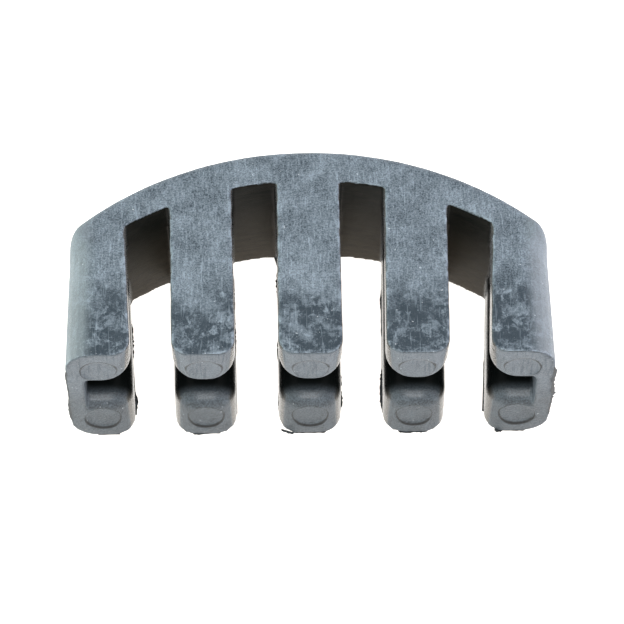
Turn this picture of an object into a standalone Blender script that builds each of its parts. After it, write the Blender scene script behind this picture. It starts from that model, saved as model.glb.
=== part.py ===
# Cello practice mute: a one-piece moulded rubber comb that sits over the bridge.
# Two rows of prongs hang from an arched bar and grip the bridge from both sides,
# and the strings pass through the slots between the prongs.
# Metres, +Z up. The mute lies on its back face, prong ends towards -Y, arch towards +Y.

import math

import bmesh
import bpy
from mathutils import Matrix, Vector

# Outer body. The middle plane of the mould is z = 0 while the shape is built,
# and the prong ends lie in the plane y = 0.
WIDTH = 0.0750                 # across the prong ends
THICKNESS = 0.0245             # front face to back face at the prong ends
HEIGHT = 0.03875               # prong ends to the top of the arch
ARCH_RADIUS = 0.0529           # outer curve of the arch bar
FACE_DRAFT = 0.041             # each face closes in by this much per metre of height
SIDE_DRAFT = 0.008             # the same for each side wall
SHOULDER_RADIUS = 0.0050       # where a side wall turns into the arch
SIDE_EDGE_RADIUS = 0.0045      # long edges between the side walls and the faces
ARCH_EDGE_RADIUS = 0.0012      # edges between the arch and the faces
EDGE_BLEND_LENGTH = 0.0030     # stretch below the shoulder where the long edges start to sharpen

# String slots: four gaps right through the body, one for each string.
STRING_ROOF_HEIGHT = 0.03265   # prong ends to the roof of the slots, at the middle of the arch
STRING_ROOF_RADIUS = 0.0527
CENTRE_PRONG_WIDTH = 0.00984
INNER_SLOT_WIDTH = 0.00687     # the two slots beside the centre prong
INNER_PRONG_WIDTH = 0.0097
OUTER_SLOT_WIDTH = 0.0068      # the two slots beside the end prongs
INNER_PRONG_LEAN = 0.00065     # how far these prongs step out between tip and root
END_PRONG_LEAN = 0.0018

# Bridge slot: the gap between the front and the back prongs that grips the bridge.
BRIDGE_SLOT_WIDTH = 0.0050
BRIDGE_SLOT_DRAFT = 0.008      # each wall closes in by this much per metre of height
BRIDGE_ROOF_DROP = 0.0031      # how far its roof stands below the roof of the string slots
BRIDGE_ROOF_CORNER = 0.0026    # the roof's rounded corners at each string slot
END_WALL = 0.0027              # wall that closes the bridge slot at each end of the mute

# Prong tips: plan corners at the two faces, and the rounded lips of the bridge slot.
FRONT_TIP_RADIUS = 0.0026
BACK_TIP_RADIUS = 0.0033
LIP_RADIUS = 0.0044            # plan radius of the lip, round the tip and into the slot
LIP_DEPTH = 0.0028             # how far the lip reaches from the slot wall into the prong
LIP_SIDE_INSET = 0.0036        # how far the lip takes in each long edge of the prong

# Mould pin marks: a shallow round recess in the end of every prong.
PIN_MARK_RADIUS = 0.0028
PIN_MARK_DEPTH = 0.00035
PIN_MARK_FROM_FACE = 0.00515   # centre of the mark to the outer face of its prong

# Facets.
TIP_STEPS = 7                  # facets in a quarter turn at a prong's corner
LIP_STEPS = 6                  # facets from the prong's side round to the slot wall
LIP_NARROWING = 0.92           # most of the lip's plan radius that its narrowing may take
ROOF_STEPS = 10                # facets over one prong's stretch of the bridge slot
ARCH_STEPS = 48
SHOULDER_STEPS = 8
BLEND_STEPS = 5
EDGE_STEPS = 5
PIN_STEPS = 36
FILLET_ROUNDS = 30             # passes that settle the centre of the shoulder arc
SMOOTH_BELOW_DEG = 35          # edges flatter than this are shaded smooth

OVERSHOOT = 0.0030             # how far a piece runs past what trims it


def clear_scene():
    for old in list(bpy.data.objects):
        bpy.data.objects.remove(old, do_unlink=True)


def new_collection(name):
    collection = bpy.data.collections.new(name)
    bpy.context.scene.collection.children.link(collection)
    return collection


def rubber_material():
    material = bpy.data.materials.new("moulded_rubber")
    material.use_nodes = True
    shader = material.node_tree.nodes["Principled BSDF"]
    shader.inputs["Base Color"].default_value = (0.060, 0.078, 0.092, 1.0)
    shader.inputs["Roughness"].default_value = 0.62
    shader.inputs["Metallic"].default_value = 0.0
    return material


def object_from_bmesh(name, mesh_data, collection):
    mesh = bpy.data.meshes.new(name)
    mesh_data.to_mesh(mesh)
    mesh_data.free()
    made = bpy.data.objects.new(name, mesh)
    collection.objects.link(made)
    return made


def hide_tool(tool):
    tool.hide_render = True
    tool.display_type = "WIRE"


def boolean(target, tool, operation):
    step = target.modifiers.new(tool.name, "BOOLEAN")
    step.operation = operation
    step.solver = "EXACT"
    step.object = tool
    hide_tool(tool)


# Curves of the arch

def roof_y(x, top, radius):
    """Height of an arch at x, for an arch whose crown is at top."""
    return top - (radius - math.sqrt(radius * radius - x * x))


def half_width(y):
    return WIDTH / 2 - SIDE_DRAFT * y


def half_thickness(y):
    return THICKNESS / 2 - FACE_DRAFT * y


def prism(name, outline, low, high, collection):
    """A flat outline in the XY plane, extruded from z = low to z = high."""
    shape = bmesh.new()
    base = [shape.verts.new((x, y, low)) for x, y in outline]
    face = shape.faces.new(base)
    grown = bmesh.ops.extrude_face_region(shape, geom=[face])
    moved = [item for item in grown["geom"] if isinstance(item, bmesh.types.BMVert)]
    bmesh.ops.translate(shape, verts=moved, vec=(0, 0, high - low))
    bmesh.ops.recalc_face_normals(shape, faces=shape.faces)
    return object_from_bmesh(name, shape, collection)


def skin_rings(shape, rings):
    """Join rings of equal length into one closed skin with a cap at each end."""
    for low, high in zip(rings, rings[1:]):
        for i in range(len(low)):
            j = (i + 1) % len(low)
            shape.faces.new((low[i], low[j], high[j], high[i]))
    shape.faces.new(rings[0])
    shape.faces.new(rings[-1])
    bmesh.ops.recalc_face_normals(shape, faces=shape.faces)


# Outer body

def shoulder_fillet():
    """Centre of the arc that joins the right side wall to the arch."""
    arch_centre_y = HEIGHT - ARCH_RADIUS
    reach = ARCH_RADIUS - SHOULDER_RADIUS
    slope = math.hypot(1.0, SIDE_DRAFT)
    y = 0.0
    for _ in range(FILLET_ROUNDS):
        x = half_width(y) - SHOULDER_RADIUS * slope
        y = arch_centre_y + math.sqrt(reach * reach - x * x)
    return Vector((x, y)), arch_centre_y


def eased_edge_radius(share):
    """Radius of the face edges, from the side wall's value at 0 to the arch's at 1."""
    eased = share * share * (3.0 - 2.0 * share)
    return SIDE_EDGE_RADIUS + (ARCH_EDGE_RADIUS - SIDE_EDGE_RADIUS) * eased


def body_outline():
    """Plan outline of the whole mute, anticlockwise from the right prong end.

    Each entry is (point, outward direction, radius of the edges at both faces).
    """
    centre, arch_centre_y = shoulder_fillet()
    side_angle = math.atan(SIDE_DRAFT)
    arch_angle = math.atan2(centre.y - arch_centre_y, centre.x)
    sweep = arch_angle - side_angle
    blend_travel = EDGE_BLEND_LENGTH + SHOULDER_RADIUS * sweep
    right = [(Vector((WIDTH / 2, 0.0)), Vector((1.0, 0.0)), SIDE_EDGE_RADIUS)]
    for step in range(BLEND_STEPS):
        travel = EDGE_BLEND_LENGTH * step / BLEND_STEPS
        y = centre.y - EDGE_BLEND_LENGTH + travel
        edge = eased_edge_radius(travel / blend_travel)
        right.append((Vector((half_width(y), y)), Vector((1.0, 0.0)), edge))
    for step in range(SHOULDER_STEPS + 1):
        turned = sweep * step / SHOULDER_STEPS
        angle = side_angle + turned
        outward = Vector((math.cos(angle), math.sin(angle)))
        edge = eased_edge_radius((EDGE_BLEND_LENGTH + SHOULDER_RADIUS * turned) / blend_travel)
        right.append((centre + SHOULDER_RADIUS * outward, outward, edge))
    arch = []
    for step in range(1, ARCH_STEPS):
        angle = arch_angle + (math.pi - 2 * arch_angle) * step / ARCH_STEPS
        outward = Vector((math.cos(angle), math.sin(angle)))
        crown = Vector((0.0, arch_centre_y)) + ARCH_RADIUS * outward
        arch.append((crown, outward, ARCH_EDGE_RADIUS))
    mirror = Vector((-1.0, 1.0))
    left = [(point * mirror, outward * mirror, edge) for point, outward, edge in reversed(right)]
    return right + arch + left


def make_body(collection):
    """The outer block: drafted faces, rounded long edges and a finer edge along the arch."""
    outline = body_outline()
    turns = [0.5 * math.pi * step / EDGE_STEPS for step in range(EDGE_STEPS + 1)]
    levels = [(-1, turn) for turn in reversed(turns)] + [(1, turn) for turn in turns]
    shape = bmesh.new()
    rings = []
    for side, turn in levels:
        ring = []
        for point, outward, edge in outline:
            place = point - outward * edge * (1 - math.cos(turn))
            z = side * (half_thickness(place.y) - edge * (1 - math.sin(turn)))
            ring.append(shape.verts.new((place.x, place.y, z)))
        rings.append(ring)
    skin_rings(shape, rings)
    return object_from_bmesh("mute_body", shape, collection)


# Prongs

class SideLine:
    """A prong's side wall in plan: a straight line from its tip to its root."""

    def __init__(self, tip_x, root_x, inward):
        self.tip_x = tip_x
        self.slope = (root_x - tip_x) / STRING_ROOF_HEIGHT
        self.inward = inward

    def x_at(self, y, inset=0.0):
        stretch = math.hypot(1.0, self.slope)
        return self.tip_x + self.slope * y + self.inward * inset * stretch


def prong_walls():
    """The left and right side lines of the five prongs, from left to right."""
    a = CENTRE_PRONG_WIDTH / 2
    b = a + INNER_SLOT_WIDTH
    c = b + INNER_PRONG_WIDTH
    d = c + OUTER_SLOT_WIDTH
    past = WIDTH / 2 + OVERSHOOT
    half_lean = INNER_PRONG_LEAN / 2
    end_lean = END_PRONG_LEAN / 2
    spans = [
        ((-a, -a), (a, a)),
        ((b - half_lean, b + half_lean), (c - half_lean, c + half_lean)),
        ((d - end_lean, d + end_lean), (past, past)),
    ]
    walls = []
    for left, right in spans:
        walls.append((SideLine(*left, 1), SideLine(*right, -1)))
    for left, right in spans[1:]:
        walls.insert(0, (SideLine(-right[0], -right[1], 1), SideLine(-left[0], -left[1], -1)))
    return walls


def corner_arc(line, end_y, inset, radius, steps):
    """Points of the round corner between a side line and the prong's end, side first."""
    y = end_y + radius
    x = line.x_at(y, inset + radius)
    tilt = math.atan(line.slope)
    start = math.pi + tilt * line.inward if line.inward > 0 else tilt * line.inward
    stop = 1.5 * math.pi if line.inward > 0 else -0.5 * math.pi
    points = []
    for step in range(steps + 1):
        angle = start + (stop - start) * step / steps
        points.append((x + radius * math.cos(angle), y + radius * math.sin(angle)))
    return points


def tip_section(walls, is_end, end_inset, side_inset, radius, root_y):
    """Plan section of a prong: from its left root, round the tip, to its right root."""
    left, right = walls
    points = []
    if is_end < 0:
        points += [(left.x_at(root_y), root_y)]
        points += [(left.x_at(end_inset), end_inset)]
    else:
        points += [(left.x_at(root_y, side_inset), root_y)]
        points += corner_arc(left, end_inset, side_inset, radius, TIP_STEPS)
    if is_end > 0:
        points += [(right.x_at(end_inset), end_inset)]
        points += [(right.x_at(root_y), root_y)]
    else:
        points += corner_arc(right, end_inset, side_inset, radius, TIP_STEPS)[::-1]
        points += [(right.x_at(root_y, side_inset), root_y)]
    return points


def prong(name, walls, is_end, side, tip_radius, collection):
    """One prong as a loft of plan sections, from past its outer face to the slot wall.

    side is 1 for the front row and -1 for the back row.
    """
    slot_wall = BRIDGE_SLOT_WIDTH / 2
    lip_start = slot_wall + LIP_DEPTH
    face = THICKNESS / 2
    levels = [(face + OVERSHOOT, 0.0, 0.0, tip_radius), (face, 0.0, 0.0, tip_radius)]
    for step in range(LIP_STEPS + 1):
        turn = 0.5 * math.pi * step / LIP_STEPS
        taken = 1.0 - math.cos(turn)
        z = lip_start - LIP_DEPTH * math.sin(turn)
        end_inset = LIP_RADIUS * taken
        side_inset = LIP_SIDE_INSET * taken
        radius = LIP_RADIUS - min(LIP_SIDE_INSET, LIP_NARROWING * LIP_RADIUS) * taken
        levels.append((z, end_inset, side_inset, radius))
    root_y = STRING_ROOF_HEIGHT + OVERSHOOT / 2
    shape = bmesh.new()
    rings = []
    for z, end_inset, side_inset, radius in levels:
        section = tip_section(walls, is_end, end_inset, side_inset, radius, root_y)
        ring = []
        for x, y in section:
            ring.append(shape.verts.new((x, y, side * (z - BRIDGE_SLOT_DRAFT * y))))
        rings.append(ring)
    skin_rings(shape, rings)
    return object_from_bmesh(name, shape, collection)


def rib_outline(walls, is_end):
    """Plan of the block above a prong's stretch of the bridge slot."""
    left, right = walls
    crown = STRING_ROOF_HEIGHT - BRIDGE_ROOF_DROP
    radius = STRING_ROOF_RADIUS - BRIDGE_ROOF_DROP
    corner = BRIDGE_ROOF_CORNER
    top = HEIGHT
    points = []
    x_low = left.x_at(crown)
    x_high = right.x_at(crown)
    for step in range(ROOF_STEPS + 1):
        x = x_low + (x_high - x_low) * step / ROOF_STEPS
        rise = 0.0
        if is_end >= 0:
            short = max(0.0, corner - (x - x_low))
            rise += corner - math.sqrt(corner * corner - short * short)
        if is_end <= 0:
            short = max(0.0, corner - (x_high - x))
            rise += corner - math.sqrt(corner * corner - short * short)
        points.append((x, roof_y(x, crown, radius) + rise))
    points.append((right.x_at(top), top))
    points.append((left.x_at(top), top))
    return points


def arch_outline():
    """Plan of the bar over the string slots, run past the outer body on every outer side."""
    past = WIDTH / 2 + OVERSHOOT
    points = []
    for step in range(ARCH_STEPS + 1):
        x = -past + 2 * past * step / ARCH_STEPS
        points.append((x, roof_y(x, STRING_ROOF_HEIGHT, STRING_ROOF_RADIUS)))
    top = HEIGHT + OVERSHOOT
    return points + [(past, top), (-past, top)]


def end_wall_outline(side):
    inner = side * (WIDTH / 2 - END_WALL)
    outer = side * (WIDTH / 2 + OVERSHOOT)
    top = HEIGHT
    return [(inner, -OVERSHOOT), (outer, -OVERSHOOT), (outer, top), (inner, top)]


def end_side(index, count):
    """-1 for the first prong, 1 for the last one and 0 for those between them."""
    if index == 0:
        return -1
    if index == count - 1:
        return 1
    return 0


def make_comb(collection):
    """Everything inside the outer body: arch bar, end walls, prongs and the blocks over them."""
    reach = THICKNESS / 2 + OVERSHOOT
    comb = prism("comb", arch_outline(), -reach - OVERSHOOT, reach + OVERSHOOT, collection)
    for side, label in ((-1, "left"), (1, "right")):
        wall = prism(f"end_wall_{label}", end_wall_outline(side), -reach, reach, collection)
        boolean(comb, wall, "UNION")
    walls = prong_walls()
    for index, pair in enumerate(walls):
        is_end = end_side(index, len(walls))
        rib = prism(f"rib_{index}", rib_outline(pair, is_end), -reach, reach, collection)
        boolean(comb, rib, "UNION")
        for side, label, tip in ((1, "front", FRONT_TIP_RADIUS), (-1, "back", BACK_TIP_RADIUS)):
            piece = prong(f"prong_{label}_{index}", pair, is_end, side, tip, collection)
            boolean(comb, piece, "UNION")
    return comb


def pin_mark_places():
    """Centres of the pin marks: middle of each prong's end, on both rows."""
    walls = prong_walls()
    places = []
    for index, (left, right) in enumerate(walls):
        low = max(left.x_at(0.0), -WIDTH / 2)
        high = min(right.x_at(0.0), WIDTH / 2)
        for side in (1, -1):
            places.append(((low + high) / 2, side * (THICKNESS / 2 - PIN_MARK_FROM_FACE)))
    return places


def make_pin_mark_tool(collection):
    shape = bmesh.new()
    length = PIN_MARK_DEPTH + OVERSHOOT
    for x, z in pin_mark_places():
        along_y = Matrix.Rotation(math.pi / 2, 4, "X")
        place = Matrix.Translation((x, PIN_MARK_DEPTH - length / 2, z)) @ along_y
        bmesh.ops.create_cone(shape, cap_ends=True, segments=PIN_STEPS, radius1=PIN_MARK_RADIUS,
                              radius2=PIN_MARK_RADIUS, depth=length, matrix=place)
    return object_from_bmesh("pin_marks", shape, collection)


def lay_on_back(body, collection):
    """Turn the mute until its drafted back face is flat on z = 0, centred in plan.

    The body and the tools that cut it hang on one empty, so that they move together.
    """
    stand = bpy.data.objects.new("mould_axes", None)
    collection.objects.link(stand)
    for piece in bpy.data.objects:
        if piece is not stand:
            piece.parent = stand
    stand.rotation_euler = (-math.atan(FACE_DRAFT), 0.0, 0.0)
    bpy.context.view_layer.update()
    shown = body.evaluated_get(bpy.context.evaluated_depsgraph_get())
    corners = [shown.matrix_world @ vertex.co for vertex in shown.data.vertices]
    low = Vector([min(corner[axis] for corner in corners) for axis in range(3)])
    high = Vector([max(corner[axis] for corner in corners) for axis in range(3)])
    middle = (low + high) / 2
    stand.location = (-middle.x, -middle.y, -low.z)


def main():
    clear_scene()
    parts = new_collection("cello_mute")
    tools = new_collection("tools")
    body = make_body(parts)
    boolean(body, make_comb(tools), "INTERSECT")
    boolean(body, make_pin_mark_tool(tools), "DIFFERENCE")
    body.data.materials.append(rubber_material())
    body.data.shade_smooth()
    body.data.set_sharp_from_angle(angle=math.radians(SMOOTH_BELOW_DEG))
    lay_on_back(body, tools)


main()
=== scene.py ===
# Looks of the cello mute: worn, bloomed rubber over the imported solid, with the mould's flash.

import itertools
import math

import bpy
import numpy as np
from mathutils import Matrix, Vector


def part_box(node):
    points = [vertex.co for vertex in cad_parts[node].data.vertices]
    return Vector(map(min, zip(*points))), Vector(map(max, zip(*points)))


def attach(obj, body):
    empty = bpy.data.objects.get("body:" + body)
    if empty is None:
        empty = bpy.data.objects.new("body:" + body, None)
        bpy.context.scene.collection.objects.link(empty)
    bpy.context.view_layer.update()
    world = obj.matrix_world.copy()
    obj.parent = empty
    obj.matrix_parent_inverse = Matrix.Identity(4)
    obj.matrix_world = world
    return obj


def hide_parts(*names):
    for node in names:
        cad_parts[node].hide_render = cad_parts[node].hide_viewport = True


# The mould's own axes: x across, y up the prongs from their ends, z out of the front face,
# with z = 0 in the middle plane. The mute lies on its back face, so these axes lean in the row
# frame by the draft of that face. Shapes are in metres.
FACE_DRAFT = 0.041
SIDE_DRAFT = 0.008
THICKNESS = 0.0245
WIDTH = 0.0750
MM = 1000.0

# Camera, fitted to the photograph, in the mould's axes.
CAMERA_TILT_DEG = 58.0
CAMERA_TURN_DEG = -1.43
CAMERA_ROLL_DEG = 0.65
CAMERA_DISTANCE = 0.4747
CAMERA_AIM = Vector((0.0, 0.014, 0.0))
AIM_OFFSET = Vector((-0.00046, 0.00087))       # where the aim falls in the picture plane
LENS_MM = 174.1
SENSOR_MM = 36.0
CLIP_START = 0.01
CLIP_END = 10.0

# Stage. The floor glows so that it stays white under the mute and between its prongs.
FLOOR_SIZE = 3.0
FLOOR_COLOUR = (0.86, 0.85, 0.84, 1.0)
FLOOR_ROUGHNESS = 0.9
FLOOR_GLOW_COLOUR = (1.0, 0.95, 0.88, 1.0)
FLOOR_GLOW = 0.95
STUDIO_COLOUR = (1.0, 1.0, 1.0, 1.0)
STUDIO_STRENGTH = 0.65

# Area lights, all aimed at the origin: name, place, size, power in watts and colour.
LIGHTS = (
    ("soft_left", (-0.60, 0.05, 0.25), (0.40, 0.60), 4.2, (0.86, 1.0, 0.94)),
    ("soft_right", (0.60, 0.05, 0.25), (0.40, 0.60), 3.8, (0.90, 0.86, 1.0)),
    ("soft_front", (0.0, -0.36, 0.60), (0.34, 0.20), 2.6, (1.0, 1.0, 1.0)),
)

# Visual mesh.
VOXEL = 0.00028
VOXEL_ADAPTIVITY = 0.00016
SMOOTH_FACTOR = 0.5
SMOOTH_ROUNDS = 1
SHARP_BEND = 0.35              # mean bend along a vertex's edges that counts as a full edge
NOISE_PERIOD = 64              # lattice cells after which the noise on the mesh repeats

# Unevenness of the surface: features per metre, seed and height.
WAVES = (260.0, 3, 0.000018)
RIPPLES = (900.0, 5, 0.000010)
WORN_EDGES = (700.0, 7, 0.000055)
WORN_EDGE_SHARE = 0.2          # added to the noise, so that most of each edge is worn

# Flash: thin ridges with a ragged outer edge.
FLASH_STEP = 0.00015           # from one cross-section to the next
FLASH_LEAST_STEPS = 8
FLASH_ROOT = 0.00025           # how far a ridge starts inside the body
FLASH_HALF = 0.00006           # half its thickness at the root
FLASH_LIFT = 0.00010           # from the back face to the middle of the ridge
FLASH_TAPER = 0.06             # share of its length over which each end fades out
FLASH_CLUMPS = 330.0           # stretches with and without flash, per metre
FLASH_TEETH = 2900.0
FLASH_FLAT_SHARE = 0.15        # the rest of the width comes and goes with the teeth
FLASH_SLOT_START = 0.0036      # height at which the slots' straight edges start
FLASH_SLOT_REACH = 0.00070
FLASH_SLOT_COVER = 0.55
FLASH_END_MARGIN = 0.0050      # from the faces, at the two ends of the mute
FLASH_END_HEIGHT = 0.00012
FLASH_END_REACH = 0.00085
FLASH_TIP_HEIGHT = 0.0001
FLASH_TIP_REACH = 0.00040
FLASH_RIM_COVER = 0.85         # for the ends and the tips

# Prong sides from the middle out: the side that the prong's body is on, x at the tip and at
# the root, and the height where the flash ends.
PRONG_SIDES = (
    (-1, 0.00492, 0.00492, 0.0300),
    (1, 0.01146, 0.01200, 0.0290),
    (-1, 0.02117, 0.02170, 0.0255),
    (1, 0.02739, 0.02880, 0.0225),
)

# Stretches of x with flash along the back edge of the prong tips.
TIP_SPANS = (
    (-0.0335, -0.0300),
    (-0.0185, -0.0142),
    (-0.0028, 0.0025),
    (0.0140, 0.0186),
    (0.0292, 0.0340),
)

# Two loose flaps on that edge: name, x and y of both ends, direction, reach and seed.
FLAPS = (
    ("flash_flap_middle", (-0.0046, 0.0006), (-0.0026, -0.0001), (-0.35, -1.0, 0.0), 0.00110, 83),
    ("flash_flap_right", (0.0292, 0.0004), (0.0304, 0.0000), (-0.2, -1.0, 0.0), 0.00080, 88),
)

# Mould pin marks in the prong ends: centres on both sides of the middle.
PIN_MARK_X = (0.0, 0.016315, 0.032445)
PIN_MARK_RADIUS = 0.0028
PIN_MARK_FROM_FACE = 0.00515

# Patterns of the rubber's marks: features per metre, detail, roughness and distortion of the
# noise, and the noise values at which a mark starts and is full.
MARKS = {
    "clouds": (95.0, 6.0, 0.62, 0.60, 0.36, 0.68),
    "patches": (400.0, 8.0, 0.78, 0.35, 0.42, 0.62),
    "grain": (3800.0, 3.0, 0.80, 0.0, 0.39, 0.61),
    "streaks": (3000.0, 4.0, 0.70, 0.0, 0.45, 0.66),
    "scuffs": (700.0, 6.0, 0.72, 0.80, 0.54, 0.66),
    "specks": (1700.0, 2.0, 0.50, 0.0, 0.71, 0.78),
    "left_scratches": (2400.0, 1.5, 0.50, 0.15, 0.655, 0.70),
    "right_scratches": (2400.0, 1.5, 0.50, 0.15, 0.655, 0.70),
    "tip_rubs": (2600.0, 3.0, 0.60, 0.0, 0.52, 0.66),
    "roof_lines": (900.0, 4.0, 0.60, 0.0, 0.35, 0.70),
    "flash_grain": (2600.0, 3.0, 0.60, 0.0, 0.35, 0.70),
}

# Squeeze along x, y and z and turn about z, for the marks that run one way.
MARK_DIRECTIONS = {
    "streaks": ((1.0, 0.12, 1.0), 0.03),
    "scuffs": ((1.0, 0.70, 1.0), 0.60),
    "left_scratches": ((1.0, 0.05, 1.0), -0.35),
    "right_scratches": ((1.0, 0.05, 1.0), 0.55),
    "tip_rubs": ((1.0, 1.0, 0.10), 0.0),
    "roof_lines": ((0.25, 1.0, 1.6), 0.0),
}

# How much each mark adds to the bloom: over the arch and the upper prongs, in the blotches
# near the prong ends, on the side walls and on the prong ends.
EVEN_BLOOM = {"clouds": 0.18, "grain": 0.33, "streaks": 0.15, "patches": 0.13}
EVEN_BLOOM_START = -0.02
BLOTCHY_BLOOM = {"patches": 0.34, "grain": 0.13, "scuffs": 0.28, "streaks": 0.07}
BLOTCHY_RANGE = (0.08, 0.74, 0.0, 0.58)
SIDE_BLOOM = {"grain": 0.10, "patches": 0.12}
TIP_BLOOM = {"grain": 0.14, "patches": 0.07}
LIP_BLOOM = {"grain": 0.14}
FLASH_BLOOM = {"flash_grain": 0.12}
SCRATCH_BLOOM = 0.15
EDGE_BLOOM = 0.6
BUMPS = {"grain": 0.5, "streaks": 0.4}

# Heights above the prong ends, in millimetres, where the blotches fade out, and how far the
# clouds move that border.
BLOTCHES_FADE = (8.5, 18.0)
BLOTCHES_SHIFT = 5.0

# Roughness, and what the bloom adds to it and the inside and the slots' walls take off.
ROUGHNESS = 0.46
BLOOM_ROUGHNESS = 0.20
INNER_POLISH = 0.15
WALL_POLISH = 0.16
FLASH_ROUGHNESS = (0.45, 0.65)

# Strength of the shine on the open faces, and in the slot roofs and the bridge slot, whose lower
# shine is painted shade on a copy of the material.
OPEN_SPECULAR = 0.38
SHADED_SPECULAR = 0.12
SHEEN = 0.10
SHEEN_ROUGHNESS = 0.30
SHEEN_TINT = (0.80, 0.90, 1.0, 1.0)
BUMP_STRENGTH = 0.55
BUMP_DISTANCE = 0.00012
INNER_SMOOTHNESS = 0.85        # share of the bump that is missing inside

# Linear colours of the rubber.
BARE_RUBBER = (0.018, 0.031, 0.043, 1.0)
BLOOM = (0.35, 0.42, 0.48, 1.0)
# The side walls are pale partly from their own bloom and partly from a painted reflection of the
# bright surroundings, seen at a grazing angle.
SIDE_RUBBER_AND_PAINTED_REFLECTION = (0.150, 0.176, 0.190, 1.0)
SIDE_SHOWS_FACE = 0.25         # share of the face's colour that runs on over the side walls
TIP_RUBBER = (0.066, 0.080, 0.095, 1.0)
BACK_TIP_RUBBER = (0.025, 0.031, 0.036, 1.0)
LIP_RUBBER = (0.050, 0.062, 0.072, 1.0)
# Slot walls: dark rubber under a painted reflection of the warm floor, which makes them pale beige.
WALL_RUBBER_AND_PAINTED_REFLECTION = (0.086, 0.080, 0.070, 1.0)
# Slot roofs: bare rubber darkened with painted shade, near black at the front and lighter and warmer
# towards the back.
ROOF_FRONT_RUBBER_IN_PAINTED_SHADE = (0.004, 0.005, 0.004, 1.0)
ROOF_BACK_RUBBER = (0.054, 0.043, 0.029, 1.0)
ROOF_LINE_RUBBER = (0.020, 0.017, 0.013, 1.0)
ROOF_LINE_SHARE = 0.45
# Painted shade: near black in the bridge slot, under the front prongs.
DEEP_PAINTED_SHADE = (0.003, 0.004, 0.004, 1.0)
SPECK = (0.62, 0.66, 0.70, 1.0)
SPECK_SHARE = 0.6
# Dark dirt along the edges of the prong ends, and painted shade in the recesses of the pin marks.
GRIME_AND_PAINTED_SHADE = (0.004, 0.005, 0.006, 1.0)
FLASH_RUBBER = (0.010, 0.011, 0.012, 1.0)


def mould_axes():
    """Matrix from the mould's axes to the row frame."""
    low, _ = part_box("mute_body")
    lean = math.atan(FACE_DRAFT)
    half = THICKNESS / 2
    place = Vector((0.0, low.y + half * math.sin(lean), half * math.cos(lean)))
    return Matrix.Translation(place) @ Matrix.Rotation(-lean, 4, "X")


def make_camera(mould):
    tilt = math.radians(CAMERA_TILT_DEG)
    turn = Matrix.Rotation(math.radians(CAMERA_TURN_DEG), 3, "Z")
    right = turn @ Vector((1.0, 0.0, 0.0))
    down = turn @ Vector((0.0, -math.sin(tilt), -math.cos(tilt)))
    forward = turn @ Vector((0.0, math.cos(tilt), -math.sin(tilt)))
    roll = math.radians(CAMERA_ROLL_DEG)
    rolled_right = math.cos(roll) * right - math.sin(roll) * down
    rolled_down = math.sin(roll) * right + math.cos(roll) * down
    eye = CAMERA_AIM - forward * CAMERA_DISTANCE
    eye -= rolled_right * AIM_OFFSET.x + rolled_down * AIM_OFFSET.y
    axes = Matrix((rolled_right, -rolled_down, -forward)).transposed().to_4x4()
    camera = bpy.data.objects.new("camera", bpy.data.cameras.new("camera"))
    camera.data.lens = LENS_MM
    camera.data.sensor_width = SENSOR_MM
    camera.data.clip_start = CLIP_START
    camera.data.clip_end = CLIP_END
    bpy.context.scene.collection.objects.link(camera)
    camera.matrix_world = mould @ Matrix.Translation(eye) @ axes
    bpy.context.scene.camera = camera


def make_stage():
    bpy.ops.mesh.primitive_plane_add(size=FLOOR_SIZE, location=(0.0, 0.0, 0.0))
    floor = bpy.context.object
    floor.name = "floor"
    material = bpy.data.materials.new("pale_floor")
    material.use_nodes = True
    shader = material.node_tree.nodes["Principled BSDF"]
    shader.inputs["Base Color"].default_value = FLOOR_COLOUR
    shader.inputs["Roughness"].default_value = FLOOR_ROUGHNESS
    shader.inputs["Emission Color"].default_value = FLOOR_GLOW_COLOUR
    shader.inputs["Emission Strength"].default_value = FLOOR_GLOW
    floor.data.materials.append(material)
    world = bpy.data.worlds.new("studio")
    world.use_nodes = True
    background = world.node_tree.nodes["Background"]
    background.inputs["Color"].default_value = STUDIO_COLOUR
    background.inputs["Strength"].default_value = STUDIO_STRENGTH
    bpy.context.scene.world = world
    bpy.context.scene.view_settings.view_transform = "Standard"


def add_light(name, place, size, power, colour):
    data = bpy.data.lights.new(name, "AREA")
    data.shape = "RECTANGLE"
    data.size, data.size_y = size
    data.energy = power
    data.color = colour
    light = bpy.data.objects.new(name, data)
    bpy.context.scene.collection.objects.link(light)
    light.location = place
    light.rotation_euler = (-Vector(place)).to_track_quat("-Z", "Y").to_euler()


# Random surfaces

def value_noise(points, per_metre, seed):
    """Smooth random values from -1 to 1, with that many features to the metre."""
    period = NOISE_PERIOD
    lattice = np.random.default_rng(seed).uniform(-1.0, 1.0, (period, period, period))
    cells = points * per_metre
    base = np.floor(cells).astype(int)
    part = cells - base
    ease = part * part * (3.0 - 2.0 * part)
    total = np.zeros(len(points))
    for corner in itertools.product((0, 1), repeat=3):
        pick = (base + corner) % period
        weight = np.prod(np.where(corner, ease, 1.0 - ease), axis=1)
        total += weight * lattice[pick[:, 0], pick[:, 1], pick[:, 2]]
    return total


def smoothstep(low, high, value):
    share = np.clip((value - low) / (high - low), 0.0, 1.0)
    return share * share * (3.0 - 2.0 * share)


# Visual mesh

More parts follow.
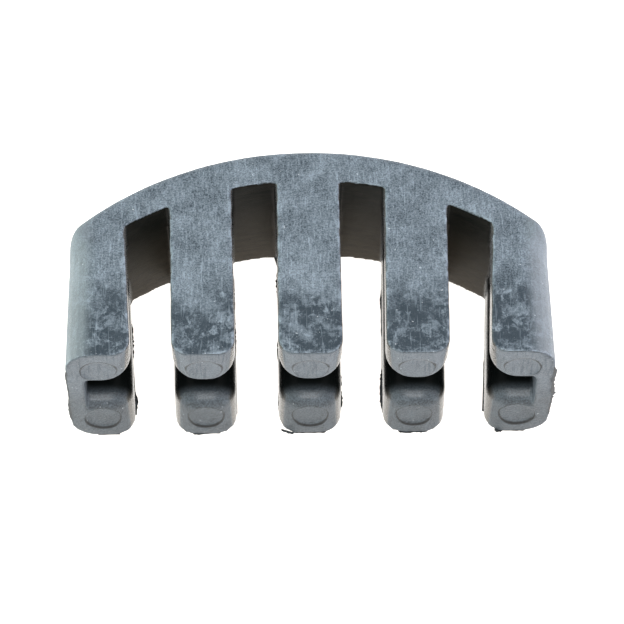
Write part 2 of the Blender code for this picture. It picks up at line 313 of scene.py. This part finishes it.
def fine_copy(node, name):
    """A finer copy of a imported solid, its sharp edges slightly worn."""
    source = bpy.data.objects.new(name + "_source", node.data.copy())
    bpy.context.scene.collection.objects.link(source)
    remesh = source.modifiers.new("remesh", "REMESH")
    remesh.mode = "VOXEL"
    remesh.voxel_size = VOXEL
    remesh.adaptivity = VOXEL_ADAPTIVITY
    remesh.use_smooth_shade = True
    smooth = source.modifiers.new("smooth", "SMOOTH")
    smooth.factor = SMOOTH_FACTOR
    smooth.iterations = SMOOTH_ROUNDS
    view = bpy.context.evaluated_depsgraph_get()
    mesh = bpy.data.meshes.new_from_object(source.evaluated_get(view))
    bpy.data.objects.remove(source)
    mesh.name = name
    mesh.materials.clear()
    piece = bpy.data.objects.new(name, mesh)
    bpy.context.scene.collection.objects.link(piece)
    return piece


def read_vertices(mesh, field):
    values = np.zeros(len(mesh.vertices) * 3, np.float32)
    mesh.vertices.foreach_get(field, values)
    return values.reshape(-1, 3).astype(float)


def spread(values, edges, rounds):
    """Average values with their neighbours along the mesh's edges."""
    count = np.bincount(edges.ravel(), minlength=len(values))
    for _ in range(rounds):
        total = np.bincount(edges[:, 0], values[edges[:, 1]], len(values))
        total += np.bincount(edges[:, 1], values[edges[:, 0]], len(values))
        values = 0.5 * values + 0.5 * total / np.maximum(count, 1)
    return values


def edge_sharpness(mesh, normals, edges):
    """About 0 on flat stretches and 1 on the sharpest edges, positive where they stand out."""
    places = read_vertices(mesh, "co")
    along = places[edges[:, 1]] - places[edges[:, 0]]
    length = np.maximum(np.linalg.norm(along, axis=1), 1e-9)
    bend = np.einsum("ij,ij->i", normals[edges[:, 1]] - normals[edges[:, 0]], along) / length
    total = np.bincount(edges[:, 0], bend, len(places)) + np.bincount(edges[:, 1], bend, len(places))
    count = np.bincount(edges.ravel(), minlength=len(places))
    return spread(total / np.maximum(count, 1), edges, 2) / SHARP_BEND


def set_attribute(mesh, name, values):
    attribute = mesh.attributes.new(name, "FLOAT", "POINT")
    attribute.data.foreach_set("value", values.astype(np.float32))


def zones(x, y, z, nx, ny, nz):
    """Shares, from 0 to 1, that tell the material which part of the mute a vertex is on.

    x, y and z are its place in the mould's axes, and nx, ny and nz its normal there.
    """
    beyond = np.abs(x) + SIDE_DRAFT * y - WIDTH / 2          # 0 on a side wall, less inside
    face = smoothstep(0.55, 0.80, np.abs(nz)) * smoothstep(0.0060, 0.0075, np.abs(z))
    tip = smoothstep(0.50, 0.75, -ny) * smoothstep(0.0040, 0.0015, y)
    arch = smoothstep(0.2, 0.6, ny) * smoothstep(0.012, 0.016, y)
    side = smoothstep(-0.0030, -0.0012, beyond)
    inner = np.clip(1.0 - np.clip(face + arch + side - tip, 0.0, 1.0) - tip, 0.0, 1.0)
    roof = smoothstep(0.5, 0.8, -ny) * smoothstep(0.0110, 0.0130, y)
    wall = smoothstep(0.6, 0.85, np.abs(nx)) * smoothstep(-0.0045, -0.0060, beyond)
    # Where the bridge slot gets its painted shade.
    deep = smoothstep(0.0012, 0.0038, y) * smoothstep(0.0062, 0.0050, np.abs(z)) * (1.0 - roof)
    return {
        "side": smoothstep(-0.0046, -0.0020, beyond) * (1.0 - tip),
        "tip": tip,
        "inner": inner,
        "roof": roof * inner,
        "wall": wall * inner,
        "deep": deep * inner,
    }


def unevenness(places, sharp):
    """How far each vertex moves out along its normal: slight waves, and edges worn in places."""
    lift = np.zeros(len(places))
    for per_metre, seed, height in (WAVES, RIPPLES):
        lift += height * value_noise(places, per_metre, seed)
    per_metre, seed, depth = WORN_EDGES
    ragged = np.clip(value_noise(places, per_metre, seed) + WORN_EDGE_SHARE, 0.0, 1.0)
    return lift - depth * np.clip(sharp, 0.0, 1.0) * ragged


def wear(piece, mould):
    """Wobble the surface and its edges, and store what the material reads of the shape."""
    mesh = piece.data
    places = read_vertices(mesh, "co")
    normals = read_vertices(mesh, "normal")
    edges = np.zeros(len(mesh.edges) * 2, np.int32)
    mesh.edges.foreach_get("vertices", edges)
    edges = edges.reshape(-1, 2)
    sharp = edge_sharpness(mesh, normals, edges)
    back = np.array(mould.inverted())
    x, y, z = (places @ back[:3, :3].T + back[:3, 3]).T
    nx, ny, nz = (normals @ back[:3, :3].T).T
    shares = zones(x, y, z, nx, ny, nz)
    places = places + normals * unevenness(places, sharp)[:, None]
    mesh.vertices.foreach_set("co", places.astype(np.float32).ravel())
    mesh.update()
    set_attribute(mesh, "edge", np.clip(sharp, -1.0, 1.0))
    for name, values in shares.items():
        set_attribute(mesh, name, values)
    # Roofs and the bridge slot take the copy of the material with less shine, as painted shade.
    shaded = np.maximum(shares["roof"], shares["deep"]) > 0.5
    for face in mesh.polygons:
        face.material_index = int(shaded[face.vertices[0]])


# Flash

def flash_strip(name, mould, path, outward, reach, seed, cover):
    """A ragged ridge of rubber along a path in the mould's axes, pointing outward.

    reach is its greatest width, and cover the share of the path that has any.
    """
    start, stop = Vector(path[0]), Vector(path[1])
    count = max(FLASH_LEAST_STEPS, int((stop - start).length / FLASH_STEP))
    share = np.linspace(0.0, 1.0, count)
    along = np.array(start)[None, :] + share[:, None] * np.array(stop - start)[None, :]
    clumps = 0.5 + 0.5 * value_noise(along, FLASH_CLUMPS, seed)
    teeth = 0.5 + 0.5 * value_noise(along, FLASH_TEETH, seed + 1)
    width = reach * np.clip((clumps - (1.0 - cover)) / cover, 0.0, 1.0)
    width *= FLASH_FLAT_SHARE + (1.0 - FLASH_FLAT_SHARE) * teeth
    width *= smoothstep(0.0, FLASH_TAPER, share) * smoothstep(0.0, FLASH_TAPER, 1.0 - share)
    width[0] = 0.0
    width[-1] = 0.0
    out = Vector(outward).normalized()
    across = (stop - start).normalized().cross(out).normalized()
    vertices = []
    for place, w in zip(along, width):
        root = Vector(place) - out * FLASH_ROOT
        vertices.append(root + across * FLASH_HALF)
        vertices.append(root - across * FLASH_HALF)
        vertices.append(Vector(place) + out * w)
    faces = [(0, 1, 2)]
    for i in range(count - 1):
        a = 3 * i
        for j in range(3):
            k = (j + 1) % 3
            faces.append((a + j, a + 3 + j, a + 3 + k, a + k))
    last = 3 * (count - 1)
    faces.append((last + 2, last + 1, last))
    mesh = bpy.data.meshes.new(name)
    mesh.from_pydata([tuple(mould @ v) for v in vertices], [], faces)
    mesh.update()
    piece = bpy.data.objects.new(name, mesh)
    bpy.context.scene.collection.objects.link(piece)
    return piece


def flash_list():
    """Name, path, outward direction, reach, seed and cover of every ridge."""
    half = THICKNESS / 2
    low = -half + FLASH_LIFT
    ridges = []
    for number, (toward, tip_x, root_x, top) in enumerate(PRONG_SIDES):
        for hand, label in ((-1, "left"), (1, "right")):
            start = (hand * tip_x, FLASH_SLOT_START, low + FACE_DRAFT * FLASH_SLOT_START)
            stop = (hand * root_x, top, low + FACE_DRAFT * top)
            out = (-hand * toward, 0.0, 0.0)
            seed = 11 + 5 * number + hand
            ridges.append((f"flash_slot_{number}_{label}", (start, stop), out,
                           FLASH_SLOT_REACH, seed, FLASH_SLOT_COVER))
    for hand, label in ((-1, "left"), (1, "right")):
        x = hand * WIDTH / 2
        start = (x, FLASH_END_HEIGHT, -half + FLASH_END_MARGIN)
        stop = (x, FLASH_END_HEIGHT, half - FLASH_END_MARGIN)
        ridges.append((f"flash_end_{label}", (start, stop), (hand, 0.0, 0.0),
                       FLASH_END_REACH, 61 + hand, FLASH_RIM_COVER))
    for number, (left, right) in enumerate(TIP_SPANS):
        start = (left, FLASH_TIP_HEIGHT, low)
        stop = (right, FLASH_TIP_HEIGHT, low)
        ridges.append((f"flash_tip_{number}", (start, stop), (0.0, -1.0, 0.0),
                       FLASH_TIP_REACH, 71 + number, FLASH_RIM_COVER))
    for name, start, stop, out, reach, seed in FLAPS:
        ridges.append((name, ((*start, low), (*stop, low)), out, reach, seed, 1.0))
    return ridges


def make_flash(mould):
    """Flash along the back edges of the slots and of the tips, and down the two ends."""
    material = flash_rubber()
    for name, path, out, reach, seed, cover in flash_list():
        piece = flash_strip(name, mould, path, out, reach, seed, cover)
        piece.data.materials.append(material)
        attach(piece, "root")


# Material

class Nodes:
    """A material's node tree, with short names for what it is built from."""

    def __init__(self, name):
        self.material = bpy.data.materials.new(name)
        self.material.use_nodes = True
        self.tree = self.material.node_tree
        self.shader = self.tree.nodes["Principled BSDF"]

    def add(self, kind, **settings):
        node = self.tree.nodes.new(kind)
        for key, value in settings.items():
            setattr(node, key, value)
        return node

    def join(self, source, target):
        self.tree.links.new(source, target)

    def put(self, socket, value):
        if isinstance(value, bpy.types.NodeSocket):
            self.join(value, socket)
        else:
            socket.default_value = value

    def position(self, squeeze=(1.0, 1.0, 1.0), turn=0.0):
        mapping = self.add("ShaderNodeMapping")
        mapping.inputs["Scale"].default_value = squeeze
        mapping.inputs["Rotation"].default_value = (0.0, 0.0, turn)
        self.join(self.add("ShaderNodeTexCoord").outputs["Object"], mapping.inputs["Vector"])
        return mapping.outputs["Vector"]

    def ramp(self, value, low, high, to_low=0.0, to_high=1.0):
        node = self.add("ShaderNodeMapRange", interpolation_type="SMOOTHSTEP")
        self.put(node.inputs["Value"], value)
        node.inputs["From Min"].default_value = low
        node.inputs["From Max"].default_value = high
        node.inputs["To Min"].default_value = to_low
        node.inputs["To Max"].default_value = to_high
        return node.outputs["Result"]

    def mark(self, name):
        """One of the patterns in MARKS, from 0 to 1."""
        scale, detail, rough, distortion, low, high = MARKS[name]
        squeeze, turn = MARK_DIRECTIONS.get(name, ((1.0, 1.0, 1.0), 0.0))
        node = self.add("ShaderNodeTexNoise")
        self.join(self.position(squeeze, turn), node.inputs["Vector"])
        node.inputs["Scale"].default_value = scale
        node.inputs["Detail"].default_value = detail
        node.inputs["Roughness"].default_value = rough
        node.inputs["Distortion"].default_value = distortion
        return self.ramp(node.outputs["Fac"], low, high)

    def math(self, operation, first, second=0.0, clamp=False):
        node = self.add("ShaderNodeMath", operation=operation, use_clamp=clamp)
        self.put(node.inputs[0], first)
        self.put(node.inputs[1], second)
        return node.outputs["Value"]

    def add_up(self, marks, shares, start=0.0):
        """The marks named in shares, each times its share, on top of start."""
        total = start
        for name, share in shares.items():
            total = self.math("ADD", total, self.math("MULTIPLY", marks[name], share))
        return total

    def mix(self, share, first, second):
        node = self.add("ShaderNodeMix", data_type="RGBA")
        self.put(node.inputs["Factor"], share)
        self.put(node.inputs[6], first)
        self.put(node.inputs[7], second)
        return node.outputs[2]

    def zone(self, name):
        """A share that wear() stored on the mesh."""
        return self.add("ShaderNodeAttribute", attribute_name=name).outputs["Fac"]

    def mould_millimetres(self, mould):
        """x, y and z in the mould's axes, in millimetres."""
        back = mould.inverted()
        mapping = self.add("ShaderNodeMapping")
        mapping.inputs["Location"].default_value = back.translation * MM
        mapping.inputs["Rotation"].default_value = back.to_euler()
        mapping.inputs["Scale"].default_value = (MM, MM, MM)
        self.join(self.add("ShaderNodeTexCoord").outputs["Object"], mapping.inputs["Vector"])
        split = self.add("ShaderNodeSeparateXYZ")
        self.join(mapping.outputs["Vector"], split.inputs["Vector"])
        return split.outputs["X"], split.outputs["Y"], split.outputs["Z"]


def pin_mark_shade_rings(n, x, z, jitter):
    """Painted shade in the shallow recesses of the pin marks: dark rings, widest on the side of the
    outer faces.
    """
    height = n.math("SUBTRACT", n.math("ABSOLUTE", z), MM * (THICKNESS / 2 - PIN_MARK_FROM_FACE))
    nearest = None
    for centre in PIN_MARK_X:
        off = n.math("SUBTRACT", n.math("ABSOLUTE", x), MM * centre)
        squares = n.math("ADD", n.math("MULTIPLY", off, off), n.math("MULTIPLY", height, height))
        away = n.math("SQRT", squares)
        nearest = away if nearest is None else n.math("MINIMUM", nearest, away)
    off_line = n.math("ABSOLUTE", n.math("SUBTRACT", nearest, MM * PIN_MARK_RADIUS))
    width = n.math("ADD", n.ramp(height, -1.5, 2.6, 0.06, 0.27), n.math("MULTIPLY", jitter, 0.12))
    line = n.math("SUBTRACT", 1.0, n.math("DIVIDE", off_line, width), clamp=True)
    line = n.math("MULTIPLY", line, 1.7, clamp=True)
    return n.math("MULTIPLY", line, n.ramp(height, -2.6, 1.0, 0.50, 1.0))


def bloom_cover(n, marks, y):
    """How much bloom covers the faces: even on the arch, in blotches near the prong ends."""
    even = n.add_up(marks, EVEN_BLOOM, EVEN_BLOOM_START)
    blotchy = n.ramp(n.add_up(marks, BLOTCHY_BLOOM), *BLOTCHY_RANGE)
    height = n.math("ADD", y, n.math("MULTIPLY", marks["clouds"], BLOTCHES_SHIFT))
    share = n.math("MULTIPLY", n.ramp(height, *BLOTCHES_FADE), n.math("SUBTRACT", even, blotchy))
    scratches = n.math("ADD", n.mark("left_scratches"), n.mark("right_scratches"), clamp=True)
    cover = n.math("ADD", blotchy, share)
    return n.math("ADD", cover, n.math("MULTIPLY", scratches, SCRATCH_BLOOM), clamp=True)


def tip_colour(n, marks, z):
    """The prong ends, with rubbed streaks on the front ones and a dirty line round the edge."""
    base = n.mix(n.ramp(z, -4.0, 4.0), BACK_TIP_RUBBER, TIP_RUBBER)
    tips = n.mix(n.add_up(marks, TIP_BLOOM), base, BLOOM)
    rubs = n.math("MULTIPLY", n.mark("tip_rubs"), n.ramp(z, 2.0, 6.0, 0.0, 0.55))
    tips = n.mix(rubs, tips, BARE_RUBBER)
    seam = n.math("MULTIPLY", n.ramp(n.zone("edge"), 0.30, 0.75, 0.0, 0.75), marks["patches"])
    return n.mix(seam, tips, GRIME_AND_PAINTED_SHADE)


def inside_colour(n, marks, z):
    """The slots: walls made pale by a painted reflection of the warm floor, lips, and roofs in
    painted shade that darkens towards the front and the middle.
    """
    lips = n.mix(n.add_up(marks, LIP_BLOOM), LIP_RUBBER, BLOOM)
    # Painted reflection of the floor on the slot walls.
    inside = n.mix(n.zone("wall"), lips, WALL_RUBBER_AND_PAINTED_REFLECTION)
    # Painted shade on the roofs, deepest towards the front.
    roofs = n.mix(n.ramp(z, 9.0, -10.0), ROOF_FRONT_RUBBER_IN_PAINTED_SHADE, ROOF_BACK_RUBBER)
    lines = n.math("MULTIPLY", n.mark("roof_lines"), ROOF_LINE_SHARE)
    roofs = n.mix(lines, roofs, ROOF_LINE_RUBBER)
    inside = n.mix(n.zone("roof"), inside, roofs)
    # Painted shade deep in the bridge slot.
    return n.mix(n.zone("deep"), inside, DEEP_PAINTED_SHADE)


def bloomed_rubber(name, mould, specular):
    n = Nodes(name)
    x, y, z = n.mould_millimetres(mould)
    marks = {mark: n.mark(mark) for mark in ("clouds", "patches", "grain", "streaks", "scuffs")}
    cover = bloom_cover(n, marks, y)
    colour = n.mix(cover, BARE_RUBBER, BLOOM)

    # Side walls: bloom over a pale colour that is partly a painted reflection.
    sides = n.mix(n.add_up(marks, SIDE_BLOOM), SIDE_RUBBER_AND_PAINTED_REFLECTION, BLOOM)
    colour = n.mix(n.zone("side"), colour, n.mix(SIDE_SHOWS_FACE, sides, colour))
    rubbed = n.math("MULTIPLY", marks["patches"], EDGE_BLOOM)
    edges = n.math("MULTIPLY", n.ramp(n.zone("edge"), 0.25, 0.8), rubbed)
    colour = n.mix(edges, colour, BLOOM)
    colour = n.mix(n.zone("tip"), colour, tip_colour(n, marks, z))
    colour = n.mix(n.zone("inner"), colour, inside_colour(n, marks, z))
    outside = n.math("SUBTRACT", SPECK_SHARE, n.zone("inner"), clamp=True)
    colour = n.mix(n.math("MULTIPLY", n.mark("specks"), outside), colour, SPECK)
    # Painted shade in the recesses of the pin marks.
    rings = n.math("MULTIPLY", n.zone("tip"), pin_mark_shade_rings(n, x, z, marks["patches"]))
    n.join(n.mix(rings, colour, GRIME_AND_PAINTED_SHADE), n.shader.inputs["Base Color"])

    rough = n.math("ADD", ROUGHNESS, n.math("MULTIPLY", cover, BLOOM_ROUGHNESS))
    rough = n.math("SUBTRACT", rough, n.math("MULTIPLY", n.zone("inner"), INNER_POLISH))
    rough = n.math("SUBTRACT", rough, n.math("MULTIPLY", n.zone("wall"), WALL_POLISH))
    n.join(rough, n.shader.inputs["Roughness"])
    n.shader.inputs["Specular IOR Level"].default_value = specular
    n.shader.inputs["Sheen Weight"].default_value = SHEEN
    n.shader.inputs["Sheen Roughness"].default_value = SHEEN_ROUGHNESS
    n.shader.inputs["Sheen Tint"].default_value = SHEEN_TINT

    smoothed = n.math("MULTIPLY", n.zone("inner"), INNER_SMOOTHNESS)
    height = n.math("MULTIPLY", n.add_up(marks, BUMPS), n.math("SUBTRACT", 1.0, smoothed))
    bump = n.add("ShaderNodeBump")
    bump.inputs["Strength"].default_value = BUMP_STRENGTH
    bump.inputs["Distance"].default_value = BUMP_DISTANCE
    n.join(height, bump.inputs["Height"])
    n.join(bump.outputs["Normal"], n.shader.inputs["Normal"])
    return n.material


def flash_rubber():
    n = Nodes("flash_rubber")
    marks = {"flash_grain": n.mark("flash_grain")}
    n.join(n.mix(n.add_up(marks, FLASH_BLOOM), FLASH_RUBBER, BLOOM), n.shader.inputs["Base Color"])
    n.join(n.ramp(marks["flash_grain"], 0.0, 1.0, *FLASH_ROUGHNESS), n.shader.inputs["Roughness"])
    return n.material


def make_body(frame, mould):
    body = fine_copy(frame["nodes"]["mute_body"], "rubber_body")
    wear(body, mould)
    body.data.materials.append(bloomed_rubber("bloomed_rubber", mould, OPEN_SPECULAR))
    # A copy with less shine, as painted shade for the slot roofs and the bridge slot.
    body.data.materials.append(bloomed_rubber("shaded_rubber", mould, SHADED_SPECULAR))
    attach(body, "root")
    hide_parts("mute_body")


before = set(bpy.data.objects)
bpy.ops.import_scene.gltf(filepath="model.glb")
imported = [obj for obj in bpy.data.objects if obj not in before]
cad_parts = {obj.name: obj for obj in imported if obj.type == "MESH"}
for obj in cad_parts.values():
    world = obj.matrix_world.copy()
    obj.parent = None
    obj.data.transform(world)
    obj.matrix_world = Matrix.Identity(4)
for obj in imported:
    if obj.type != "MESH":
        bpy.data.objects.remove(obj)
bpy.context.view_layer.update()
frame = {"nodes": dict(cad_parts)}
mould = mould_axes()
make_camera(mould)
make_stage()
for light in LIGHTS:
    add_light(*light)
make_body(frame, mould)
make_flash(mould)
